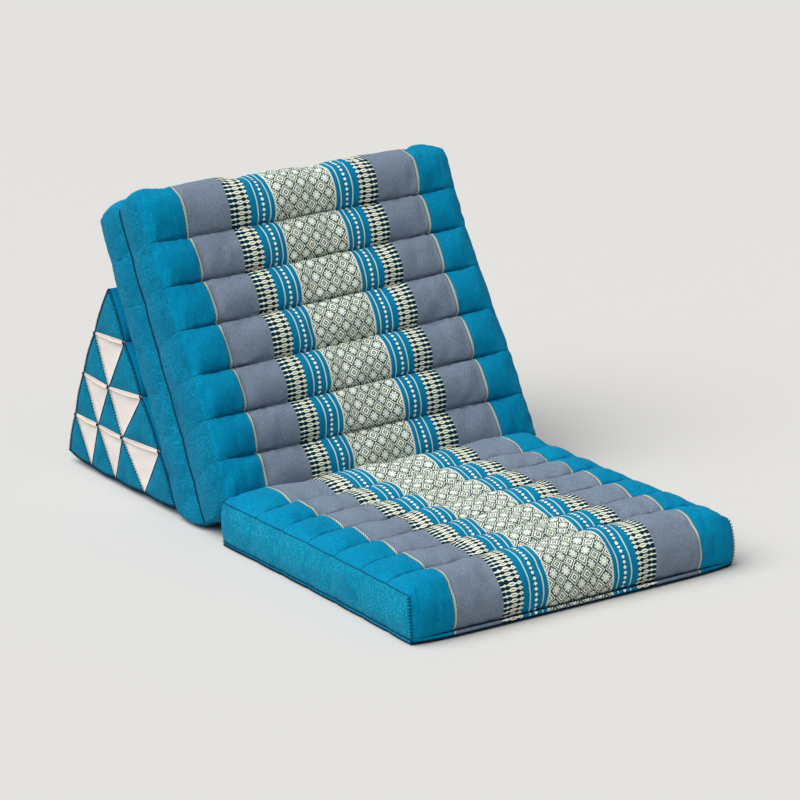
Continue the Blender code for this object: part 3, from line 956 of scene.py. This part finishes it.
@dataclass(frozen=True)
class Cotton:
    """A woven cotton finish. Scales are in millimetres."""

    name: str
    ground: str
    pale: str
    dark: str
    fleck: float
    roughness: float = 0.95
    sheen: float = 0.03
    bump: float = 0.25
    banded: bool = False

    def material(self) -> bpy.types.Material:
        """Build the node tree: heathered ground, bands where there are any, sheen and a fine woven bump."""
        item = bpy.data.materials.new(self.name)
        item.use_nodes = True
        tree = item.node_tree
        tree.nodes.clear()
        uv = put(tree, "UVMap", {"uv_map": CLOTH_UV}, {})
        place = put(tree, "TexCoord", {}, {}, 3)
        dyeing = self.heathered(tree, uv, place)
        if self.banded:
            dyeing = Bands(tree, uv).laid(dyeing)
        height = self.weave(tree, uv, place)
        normal = put(tree, "Bump", {}, {"Strength": self.bump, "Distance": 0.0006, "Height": height})
        shader = put(
            tree,
            "BsdfPrincipled",
            {},
            {
                "Base Color": dyeing.colour,
                "Roughness": self.roughness,
                "Sheen Weight": self.sheen,
                "Sheen Roughness": 0.45,
                "Specular IOR Level": 0.05,
                "Normal": normal,
            },
        )
        put(tree, "OutputMaterial", {}, {"Surface": shader})
        return item

    def heathered(self, tree: bpy.types.NodeTree, uv: bpy.types.NodeSocket, place: bpy.types.NodeSocket) -> Dyeing:
        """The ground with streaks along the warp, paler and darker specks and broad uneven dye."""
        streaks = put(tree, "Mapping", {}, {"Vector": uv, "Scale": (0.62, 0.07, 1.0)})
        fine = Field(tree, put(tree, "TexNoise", {}, {"Vector": streaks, "Scale": 0.8, "Detail": 3.0}))
        specks = Field(tree, put(tree, "TexNoise", {}, {"Vector": place, "Scale": 420.0, "Detail": 2.0}))
        broad = Field(tree, put(tree, "TexNoise", {}, {"Vector": place, "Scale": 22.0, "Detail": 2.0}))
        pale = (specks * 0.6 + fine * 0.4 - 0.5) * (self.fleck * 5.0)
        dark = (fine * 0.6 + broad * 0.4 - 0.52) * (self.fleck * 4.0)
        dyeing = Dyeing(tree, linear(self.ground))
        dyeing.over(pale.calc("MAXIMUM", 0.0).calc("MINIMUM", 1.0), self.pale)
        return dyeing.over(dark.calc("MAXIMUM", 0.0).calc("MINIMUM", 1.0), self.dark)

    def weave(self, tree: bpy.types.NodeTree, uv: bpy.types.NodeSocket, place: bpy.types.NodeSocket) -> Field:
        """Height of the cloth: threads drawn coarser than real at 1.4 mm so that they show, and small wrinkles."""
        threads = Field(tree, put(tree, "TexNoise", {}, {"Vector": place, "Scale": 700.0, "Detail": 1.0}))
        wrinkles = Field(tree, put(tree, "TexNoise", {}, {"Vector": place, "Scale": 90.0, "Detail": 2.0}))
        return threads * 0.5 + wrinkles * 1.2


@dataclass
class Bands:
    """The brocade's bands, mirrored about the middle of the mat. Distances are in millimetres on the cloth."""

    tree: bpy.types.NodeTree
    uv: bpy.types.NodeSocket

    CREAM = "#eff3de"
    NAVY = "#093140"
    TEAL = "#027aa3"
    SLATE = "#183c40"
    SAGE = "#edf3e1"
    GREY = "#7d8b9b"
    OLIVE = "#857f58"
    LINE = "#bcdcd2"

    def laid(self, ground: Dyeing) -> Dyeing:
        """Lay the bands over the plain ground, from the cream line inwards to the middle field."""
        across = Field(self.tree, put(self.tree, "SeparateXYZ", {}, {"Vector": self.uv}, 0))
        along = Field(self.tree, put(self.tree, "SeparateXYZ", {}, {"Vector": self.uv}, 1))
        out = abs(across)
        self.grey_stripe(ground, out, along)
        self.tooth_band(ground, out, along)
        self.chain_band(ground, out, along)
        return self.diamond_field(ground, across, out, along)

    def grey_stripe(self, ground: Dyeing, out: Field, along: Field) -> None:
        """Grey-blue chambray from 118 to 186 mm with a twisted cream cord line at its outer edge."""
        streaks = put(self.tree, "Mapping", {}, {"Vector": self.uv, "Scale": (0.95, 0.2, 1.0)})
        noise = Field(self.tree, put(self.tree, "TexNoise", {}, {"Vector": streaks, "Scale": 0.9, "Detail": 3.0}))
        warp = (noise - 0.38).calc("MAXIMUM", 0.0) * 2.2
        grey = Dyeing(self.tree, linear(self.GREY)).over(warp.calc("MINIMUM", 1.0), "#5a677d")
        ground.over(out.below(186.0, 0.3), grey.colour)
        ground.over(out.near(186.4, 5.4, 0.5), "#3d5f72")
        twist = (along * 0.6 + out).fold(2.8).below(0.7, 0.4)
        cord = Dyeing(self.tree, linear("#c6ceba")).over(twist, "#84918c")
        ground.over(out.near(186.4, 3.3, 0.3), cord.colour)

    def tooth_band(self, ground: Dyeing, out: Field, along: Field) -> None:
        """Rows of stem, small diamond, slotted hexagon and end diamond across 118 to 86 mm, every 7 mm of length.

        Distances run from the grey side: the stem runs right through, the small diamond sits at 6.6, the
        hexagon reaches from 10.6 to 22.8 and the end diamond to 32, where its tip runs into the teal.
        """
        from_grey = (out - 118.0) * -1.0
        beside = along.fold(7.0)
        ground.over(out.below(118.0, 0.25), self.NAVY)
        stem = beside.below(0.75, 0.25) * from_grey.near(14.0, 28.0, 0.25)
        small = (abs(from_grey - 6.6) * 0.7 + beside).below(2.1, 0.3)
        hexagon = (abs(from_grey - 16.8) * 0.62 + beside).below(4.1, 0.3) * beside.below(2.55, 0.25)
        slot = beside.below(0.6, 0.25) * from_grey.near(16.8, 6.0, 0.35)
        end = (abs(from_grey - 27.3) * 0.62 + beside).below(2.75, 0.3)
        dot = (abs(from_grey - 27.0) + beside).below(0.95, 0.3)
        ground.over(stem, self.CREAM).over(small, self.CREAM).over(hexagon, self.CREAM).over(slot, self.OLIVE)
        ground.over(end, self.CREAM).over(dot, self.OLIVE)

    def chain_band(self, ground: Dyeing, out: Field, along: Field) -> None:
        """Teal from 86 to 49 mm with two cream lines and a chain of cream diamonds on navy, every 7 mm."""
        inner = (out - 86.0) * -1.0
        beside = along.fold(7.0)
        tips = (beside * -0.55 + out).below(86.6, 0.3)
        free = (abs(inner + 4.7) * 0.62 + beside).below(2.75, 0.3)
        ground.over(tips * (free * -1.0 + 1.0), self.TEAL)
        ground.over(inner.near(9.2, 3.6, 0.5), "#04608a").over(inner.near(9.2, 1.9, 0.3), self.LINE)
        ground.over(inner.near(28.4, 3.6, 0.5), "#04608a").over(inner.near(28.4, 1.9, 0.3), self.LINE)
        ground.over((beside * -1.0 + abs(inner - 18.3) * 1.3).below(-0.9, 0.4), "#052739")
        ground.over((abs(inner - 18.3) * 1.15 + beside).below(2.9, 0.3), "#f4fbea")

    def diamond_field(self, ground: Dyeing, across: Field, out: Field, along: Field) -> Dyeing:
        """Rosettes in latticed diamonds every 19.6 by 21 mm across the middle 98 mm.

        With f the folded offsets from the nearest rosette as shares of the pitch, d is their sum: the rosette
        lies inside 0.4 on slate, a dark lattice runs at 0.45, a finer one at 0.64, and a small dark diamond
        with a pale middle sits at the far corner where d reaches 1. The diagonals are drawn coarser than real
        so that they show.
        """
        side, ahead = across.fold(19.6) / 19.6, along.fold(21.0) / 21.0
        d = side + ahead
        ring = (side * side + ahead * ahead).calc("SQRT")
        angle = ahead.calc("ARCTAN2", side)
        petal = (angle * 8.0).calc("COSINE") * 0.055 + 0.25
        field_colour = Dyeing(self.tree, linear(self.SAGE))
        field_colour.over(d.near(0.64, 0.095, 0.012), self.SLATE)
        field_colour.over(d.below(0.41, 0.02), "#71908a")
        field_colour.over(d.near(0.455, 0.108, 0.012), "#08292d")
        field_colour.over((ring - petal).below(0.0, 0.02), "#f9fcf1")
        field_colour.over(ring.near(0.17, 0.04, 0.012), "#7d9a8e")
        field_colour.over(d.below(0.12, 0.02), "#e4e6ca")
        corner = (d * -1.0) + 1.0
        field_colour.over(corner.below(0.175, 0.015), "#21454a").over(corner.below(0.08, 0.015), "#e9ecd6")
        edge = along.fold(3.5) * 0.9
        ground.over((out - edge).below(49.6, 0.3), "#e4e3cf")
        return ground.over((out - edge).below(47.6, 0.3), field_colour.colour)


TEAL_BANDED = Cotton("banded_brocade_cotton", "#007da5", "#0c95ba", "#005f88", 1.1, banded=True)
TEAL_HEATHERED = Cotton("heathered_teal_cotton", "#006e92", "#1a98b5", "#00506f", 1.2)
TEAL_PLAIN = Cotton("plain_teal_cotton", "#00709a", "#0883ab", "#00587f", 0.6)
# A lighter copy of the heathered boxing cloth, painted light: it stands for the extra light on the seat's boxing and
# for the highlight along the back mats' face seams.
TEAL_PAINTED_LIGHT = Cotton("painted_light_teal_cotton", "#007d9f", "#32a8c1", "#006083", 1.2)
# A darker copy of the tubes' teal for the bolster's ends: painted shade, for the mats' shadow on the ends.
TEAL_ENDS_SHADED = Cotton("heathered_teal_end_cotton_painted_shade", "#006f90", "#1593ae", "#00506e", 1.3)
WHITE_CANVAS = Cotton("white_cotton_canvas", "#dfd8d3", "#eeeae5", "#d2c9c2", 0.4)
# A darker copy of the white canvas for the rolled hems: painted shade that dims the roll, which faces up into the
# light.
HEM_CANVAS_SHADED = Cotton("white_cotton_hem_painted_shade", "#d8cdc4", "#eae2da", "#bfb2a8", 0.6)
NAVY_THREAD = Cotton("navy_sewing_thread", "#0a2c47", "#24506e", "#071d31", 0.3)
VALLEY_THREAD = Cotton("dark_teal_quilting_thread", "#064460", "#12607e", "#032f46", 0.3)


# Sub-assemblies


@dataclass
class MatSet:
    """The seat mat and the two mats that lean on the bolster."""

    mats: tuple[Mat, ...] = (
        Mat(
            "seat_pad_cover", "seat_pad", -7.0, 244.0,
            Seam((-449.0, 62.0), (1.85, 60.0), (0.0, 0.0)), Seam((-454.0, 4.0), (5.0, 4.0), (0.0, 0.0)),
            (0.0, 0.125, 0.268, 0.412, 0.555, 0.69, 0.828, 1.0), 0.0, 1.0, 14.5, 7.0, 14.0, 5.0,
            # the seat's boxing takes the lighter copy of the boxing cloth, painted light
            stitch_lift=6.0, boxing="painted_light_teal", seed=11,
        ),
        Mat(
            "back_pad_cover", "back_pad", 3.0, 248.0,
            Seam((2.15, 60.0), (224.0, 430.0), (0.0, 4.0, 0.0, -4.0, 0.0)),
            Seam(BACKS_START, BACKS_END, tuple(b + SEAM_FROM_BACKS for b in BACKS_BOW)),
            (0.0, 0.135, 0.275, 0.422, 0.571, 0.713, 0.854, 1.0), 1.0, 1.0, 11.5, 5.0, 9.0, 14.0,
            back_limit=1.85, seed=23, corner_puff=0.2, corner_radius=5.0,
        ),
        Mat(
            "rear_pad_cover", "rear_pad", 3.0, 248.0,
            Seam((139.0, 7.0), (328.0, 381.0), (0.0, -1.5, -4.5, -5.0, 0.0)),
            Seam(BACKS_START, BACKS_END, tuple(b - SEAM_FROM_BACKS for b in BACKS_BOW)),
            (0.0, 0.14, 0.283, 0.426, 0.569, 0.712, 0.855, 1.0), 1.0, -1.0, 11.5, 5.0, 10.0, 15.0,
            back_limit=1.85, leans=True, seed=37, corner_puff=0.2, corner_radius=5.0,
        ),
    )

    def build(self, looks: dict[str, bpy.types.Material]) -> list[bpy.types.Object]:
        """Build, dress and register the three covers."""
        pieces = []
        for mat in self.mats:
            piece = mat.build((looks["bands"], looks[mat.boxing]))
            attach(piece, BODY)
            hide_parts(mat.node)
            log.info("%s: %d polygons", mat.name, len(piece.data.polygons))
            pieces.append(piece)
        return pieces


@dataclass
class Bolster:
    """The triangular bolster: ten upright tubes in teal, and six white infills between them."""

    def tubes(self) -> list[tuple[Tube, Slot]]:
        """All tubes in the order of the CAD nodes."""
        made = []
        for row in range(4):
            above, below = CORNERS[row], CORNERS[row + 1]
            for p in range(row + 1):
                bulges = (UNDER_BULGE if row == 3 else 0.0, BACK_BULGE if p == row else 0.0, FRONT_BULGE if p == 0 else 0.0)
                corners = (above[p], below[p], below[p + 1])
                made.append(
                    (Tube(f"tube_{row + 1}_{p + 1}_cover", f"tube_{row + 1}_{p + 1}", corners, bulges, 3.5, HALF_GAP,
                          seed=50 + 7 * len(made)), Slot.TEAL)
                )
        for row in range(1, 4):
            above, below = CORNERS[row], CORNERS[row + 1]
            for p in range(row):
                corners = (above[p], above[p + 1], below[p + 1])
                made.append(
                    (Tube(f"infill_{row + 1}_{p + 1}_cover", f"infill_{row + 1}_{p + 1}", corners, (0.0, 0.0, 0.0), -2.0,
                          -0.5, flare=1.6, seed=50 + 7 * len(made)), Slot.WHITE)
                )
        return made

    def build(self, looks: dict[str, bpy.types.Material]) -> list[bpy.types.Object]:
        """Build, dress and register every tube."""
        pieces = []
        for tube, slot in self.tubes():
            # the teal tubes' ends take the darker copy of their cloth, painted shade
            ends = looks["canvas"] if slot is Slot.WHITE else looks["ends"]
            piece = tube.build((looks["plain"] if slot is Slot.TEAL else looks["canvas"], ends))
            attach(piece, BODY)
            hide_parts(tube.node)
            pieces.append(piece)
        log.info("bolster: %d tubes", len(pieces))
        return pieces


# Stage


@dataclass(frozen=True)
class Camera:
    """Long-lens view from the front left, a little above."""

    place: tuple[float, float, float] = (-2.2752, -3.6550, 1.4376)
    yaw: float = 0.5621
    pitch: float = -0.2894
    roll: float = -0.024
    lens: float = 150.34

    def build(self) -> None:
        """Make the scene's camera. Its axes are the view direction from yaw and pitch, turned by the roll."""
        ahead = Vector((math.sin(self.yaw) * math.cos(self.pitch), math.cos(self.yaw) * math.cos(self.pitch),
                        math.sin(self.pitch)))
        right = Vector((math.cos(self.yaw), -math.sin(self.yaw), 0.0))
        up = right.cross(ahead)
        x = right * math.cos(self.roll) + up * math.sin(self.roll)
        y = up * math.cos(self.roll) - right * math.sin(self.roll)
        data = bpy.data.cameras.new("camera")
        data.lens = self.lens
        data.sensor_width = 36.0
        camera = bpy.data.objects.new("camera", data)
        turn = Matrix((x, y, -ahead)).transposed().to_4x4()
        camera.matrix_world = Matrix.Translation(Vector(self.place)) @ turn
        bpy.context.scene.collection.objects.link(camera)
        bpy.context.scene.camera = camera


@dataclass
class Stitching:
    """Threads, welts and hems that follow the finished covers."""

    mats: MatSet
    bolster: Bolster
    ladder: Overcast = Overcast(pitch=4.0 * MM, length=6.0 * MM, radius=0.65 * MM, height=0.8 * MM)
    end_ladder: Overcast = Overcast(4.0 * MM, 6.0 * MM, 0.7 * MM, -0.35, 0.9 * MM, seed=7)
    fine_ladder: Overcast = Overcast(4.2 * MM, 6.6 * MM, 0.8 * MM, -0.45, 1.0 * MM, seed=9)

    def add(self, name: str, parts: Sequence[Surface], finish: bpy.types.Material) -> None:
        """Join parts into one piece that rides on the cushion."""
        piece = add_piece(name, Surface.joined(parts), (finish,))
        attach(piece, BODY)
        log.info("%s: %d polygons", name, len(piece.data.polygons))

    def seam_threads(self) -> list[Surface]:
        """Navy thread along the seat's side seams."""
        seat = self.mats.mats[0]
        edges = product((-1.0, 1.0), ((1.0, 0.45), (0.0, 0.6)))
        return [tube_along(*seat.line({1: side, 2: face}, 0.2 * MM), r * MM) for side, (face, r) in edges]

    def row_seams(self) -> list[Surface]:
        """Threads across the bolster in the folds between its rows of tubes, at the front and at the back."""
        across = np.linspace(1.0 - BOLSTER_HALF_WIDTH, BOLSTER_HALF_WIDTH - 1.0, 40)[:, None] + BOLSTER_X
        parts = []
        for row, place in product(CORNERS[1:4], (0, -1)):
            fold = off_lean_plane(np.array([row[place]]), -1.0)
            path = np.hstack([across, np.repeat(fold, len(across), axis=0)]) * MM
            normals = np.repeat([[0.0, -0.7 if place == 0 else 0.7, 0.7]], len(across), axis=0)
            parts.append(tube_along(path - normals * 0.4 * MM, normals, 0.9 * MM))
        return parts

    def seam_welts(self) -> list[Surface]:
        """The thin ridges where the boxing is sewn to the faces of the two back mats, in the lighter boxing cloth that
        paints a highlight along the seam.
        """
        sides = product(self.mats.mats[1:], (-1.0, 1.0))
        return [tube_along(*mat.line({1: side, 2: 1.0}, 0.1 * MM), 0.6 * MM) for mat, side in sides]

    def corner_ladders(self) -> list[Surface]:
        """Overcast stitches up the seat's two front corners."""
        seat = self.mats.mats[0]
        return [self.ladder.along(*seat.line({0: 0.0, 1: side}, 0.2 * MM)) for side in (-1.0, 1.0)]

    def bolster_ladders(self) -> list[Surface]:
        """Overcast stitches round the two ends of the bolster, and finer ones down one slant of each infill."""
        parts = []
        for (tube, slot), end in product(self.bolster.tubes(), (-1.0, 1.0)):
            if slot is Slot.WHITE:
                parts.append(self.fine_ladder.along(*tube.end_edge(0, end, tube.set_back - 1.0, 1.4)))
                parts.append(tube_along(*tube.end_edge(1, end, tube.set_back - 0.4, -1.6), 0.5 * MM))
                continue
            for side in np.flatnonzero(tube.bulges):
                parts.append(self.end_ladder.along(*tube.end_edge(side, end, -1.2, 1.8)))
                parts.append(tube_along(*tube.end_edge(side, end, -0.1), 0.55 * MM))
        return parts

    def infill_rolls(self) -> list[Surface]:
        """The rolled upper hem of each white infill: it sags a little and widens towards the mats."""
        parts = []
        for tube, slot in self.bolster.tubes():
            if slot is not Slot.WHITE:
                continue
            for end in (-1.0, 1.0):
                path, normals = tube.end_edge(2, end, tube.set_back)
                share = cumulative(path) / cumulative(path)[-1]
                radius = (0.8 + 1.7 * (1.0 - share) ** 0.8) * MM
                path[:, 2] -= radius * 0.8 + 2.2 * MM * np.sin(np.pi * share)
                path[:, 0] += end * (0.9 * MM - 0.4 * radius)
                parts.append(tube_along(path, normals, radius, 10))
        return parts

    def infill_knots(self) -> list[Surface]:
        """The knots at both ends of each rolled hem."""
        parts = []
        for (tube, slot), end in product(self.bolster.tubes(), (-1.0, 1.0)):
            if slot is Slot.WHITE:
                path, normals = tube.end_edge(2, end, tube.set_back - 0.8)
                parts.extend(self.knots(path[[0, -1]], normals[:2]))
        return parts

    def quilting_threads(self) -> list[Surface]:
        """A thread along each stitched line across the faces, and one in the fold between the two back mats."""
        lines = [(mat, {0: share, 2: 1.0}, 0.1, 0.45) for mat in self.mats.mats for share in mat.stitches[1:-1]]
        lines += [(mat, {1: side, 2: 0.0}, -0.3, 0.9) for mat, side in product(self.mats.mats[1:], (-1.0, 1.0))]
        return [tube_along(*mat.line(held, lift * MM), radius * MM) for mat, held, lift, radius in lines]

    def side_hems(self) -> tuple[list[Surface], list[Surface]]:
        """The rolled hem along the seat's lower side seams, thinner towards its back, between dark threads; the thick
        lower thread at the floor is partly a seam and partly painted contact shadow.
        """
        hems, threads = [], []
        for side in (-1.0, 1.0):
            path, normals = self.mats.mats[0].line({1: side, 2: 0.0}, 0.0)
            path[:, 2] = 4.0 * MM
            radius = (1.9 - 1.0 * cumulative(path) / cumulative(path)[-1]) * MM
            hems.append(tube_along(path + np.array([side * 1.2, 0.0, 0.4]) * MM, normals, radius, 8))
            threads.append(tube_along(path + np.array([side * 2.3, 0.0, 2.9]) * MM, normals, 0.5 * MM))
            # the thick lower thread is partly a seam and partly painted shadow: a dark band for the contact shadow
            # under the hem
            threads.append(tube_along(path + np.array([side * 0.8, 0.0, -2.4]) * MM, normals, 1.3 * MM))
        return hems, threads

    def knots(self, places: Array, normals: Array) -> list[Surface]:
        """A small crossed knot of thread at each place: two short thick bars bowed off the cloth."""
        steps = np.linspace(-1.0, 1.0, 5)
        parts = []
        for place, normal in zip(places, normals):
            for turn in (0.8, 2.4):
                heading = np.array([0.0, math.cos(turn), math.sin(turn)])
                bow = (1.0 - steps**2)[:, None] * normal * 1.6 * MM
                bar = place + steps[:, None] * heading * 2.2 * MM + bow
                parts.append(tube_along(bar, np.repeat(normal[None], 5, axis=0), 0.9 * MM, 6))
        return parts

    def build(self, looks: dict[str, bpy.types.Material]) -> None:
        """Build every thread and hem."""
        self.add("seam_threads", self.seam_threads() + self.row_seams(), looks["navy"])
        # the welts take the lighter boxing cloth, a painted highlight along the face seams
        self.add("seam_welts", self.seam_welts(), looks["painted_light_teal"])
        self.add("quilting_threads", self.quilting_threads(), looks["valley"])
        stitches = self.corner_ladders() + self.bolster_ladders() + self.infill_knots()
        self.add("corner_stitches", stitches, looks["navy"])
        # the rolled hems take the darker copy of the white canvas, painted shade
        self.add("infill_hems_painted_shade", self.infill_rolls(), looks["hem"])
        seat = self.mats.mats[0]
        path, normals = seat.line({0: 0.0, 2: 0.0}, 0.0)
        normals[:, 0] *= 0.2
        share = np.abs(path[:, 0] / MM - seat.middle_x) / seat.half_width
        path[:, 1] -= 8.6 * MM * (1.0 - share**8)
        path[:, 2] = 6.0 * MM
        hem = tube_along(path, normals, 2.2 * MM, 10)
        flat = np.stack([hem.vertices[:, 0] / MM - seat.middle_x, -hem.vertices[:, 2] / MM], axis=-1)
        hem.corner_uv = flat[hem.polygons]
        piece = add_piece("front_hem", hem, (looks["bands"],))
        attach(piece, BODY)
        # The thick navy tube below the hem is partly the underside's edge seam and partly painted shadow: a dark band
        # for the contact shadow under the hem.
        above, below = [0.0, 0.0, 2.5 * MM], [0.0, 1.6 * MM, -3.9 * MM]
        threads = [tube_along(path + above, normals, 0.6 * MM), tube_along(path + below, normals, 1.9 * MM)]
        hems, edges = self.side_hems()
        self.add("side_hems", hems, looks["heather"])
        self.add("hem_threads_and_painted_shadow", threads + edges, looks["navy"])


@dataclass(frozen=True)
class Studio:
    """Pale floor and soft light."""

    floor: str = "#d2d0cc"
    reach: float = 90.0
    world: str = "#f6f8fc"
    world_strength: float = 0.26
    key_power: float = 3.65
    key_angle: float = 1.2
    key_heading: tuple[float, float, float] = (0.5, -0.02, -0.86)

    def build(self) -> None:
        """Make the floor, the world and one very wide soft light from the upper left."""
        corners = [(x * self.reach, y * self.reach, -0.0005) for x, y in ((-1, -1), (1, -1), (1, 1), (-1, 1))]
        mesh = bpy.data.meshes.new("floor")
        mesh.from_pydata(corners, [], [(0, 1, 2, 3)])
        item = bpy.data.materials.new("pale_floor")
        item.use_nodes = True
        item.node_tree.nodes.clear()
        shader = put(item.node_tree, "BsdfPrincipled", {}, {"Base Color": linear(self.floor), "Roughness": 0.7})
        put(item.node_tree, "OutputMaterial", {}, {"Surface": shader})
        mesh.materials.append(item)
        floor = bpy.data.objects.new("floor", mesh)
        bpy.context.scene.collection.objects.link(floor)
        world = bpy.data.worlds.new("studio")
        bpy.context.scene.world = world
        world.use_nodes = True
        background = world.node_tree.nodes["Background"]
        background.inputs["Color"].default_value = linear(self.world)
        background.inputs["Strength"].default_value = self.world_strength
        data = bpy.data.lights.new("key", "SUN")
        data.energy = self.key_power
        data.angle = self.key_angle
        lamp = bpy.data.objects.new("key", data)
        lamp.rotation_euler = Vector(self.key_heading).to_track_quat("-Z", "Y").to_euler()
        bpy.context.scene.collection.objects.link(lamp)


def main() -> None:
    """Build the cushion piece by piece, then the stage."""
    logging.basicConfig(level=logging.INFO, format="%(name)s: %(message)s")
    bpy.context.scene.view_settings.view_transform = "Standard"
    looks = {
        "bands": TEAL_BANDED.material(),
        "heather": TEAL_HEATHERED.material(),
        "painted_light_teal": TEAL_PAINTED_LIGHT.material(),
        "plain": TEAL_PLAIN.material(),
        "ends": TEAL_ENDS_SHADED.material(),
        "canvas": WHITE_CANVAS.material(),
        "hem": HEM_CANVAS_SHADED.material(),
        "navy": NAVY_THREAD.material(),
        "valley": VALLEY_THREAD.material(),
    }
    mats, bolster = MatSet(), Bolster()
    mats.build(looks)
    bolster.build(looks)
    Stitching(mats, bolster).build(looks)
    Studio().build()
    Camera().build()


if __name__ == "__main__":
    main()
